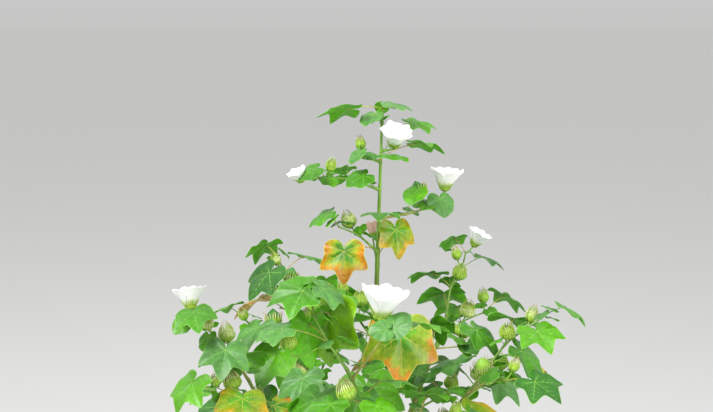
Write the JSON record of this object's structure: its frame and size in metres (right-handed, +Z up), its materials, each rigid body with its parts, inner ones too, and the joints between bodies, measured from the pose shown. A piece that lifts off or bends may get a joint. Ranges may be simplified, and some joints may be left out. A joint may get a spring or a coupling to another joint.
{
  "type": "cotton plant",
  "caption": "Rooted cotton plant in flower: a slender upright stem, long low boughs and short fruiting shoots with lobed leaves, white cup flowers, buds and green bolls.",
  "frame": {"origin": "centre of the flat cut under the stem, at ground level", "axes": "+Z up, +X to the right and +Y away from the viewer in the picture"},
  "size_m": [0.7445, 0.6827, 1.0463],
  "materials": {
    "stem": "green above, reddish-brown bark below, matt",
    "bough": "tan and green bark, matt",
    "foliage": "soft leaf, petal and green boll, slight sheen on the leaf tops"
  },
  "bodies": {
    "root": {"main_stem": "stem", "bough_front": "bough", "bough_left": "bough", "bough_back_left": "bough", "bough_back_right": "bough", "bough_right": "bough", "crown_tip": "foliage", "top_flower": "foliage", "upper_pair": "foliage", "upper_left": "foliage", "right_flower": "foliage", "left_bolls": "foliage", "pink_back": "foliage", "front_mid": "foliage", "front_left": "foliage", "front_right": "foliage", "front_low": "foliage", "stem_a": "foliage", "stem_b": "foliage", "stem_c": "foliage", "stem_d": "foliage", "stem_e": "foliage", "stem_f": "foliage", "stem_g": "foliage", "stem_h": "foliage", "front_a": "foliage", "front_b": "foliage", "front_c": "foliage", "left_a": "foliage", "left_b": "foliage", "left_c": "foliage", "left_tip": "foliage", "back_left_a": "foliage", "back_left_b": "foliage", "back_left_c": "foliage", "back_left_tip": "foliage", "back_right_a": "foliage", "back_right_b": "foliage", "back_right_c": "foliage", "back_right_tip": "foliage", "right_a": "foliage", "right_b": "foliage", "right_c": "foliage", "right_tip": "foliage"}
  },
  "joints": []
}
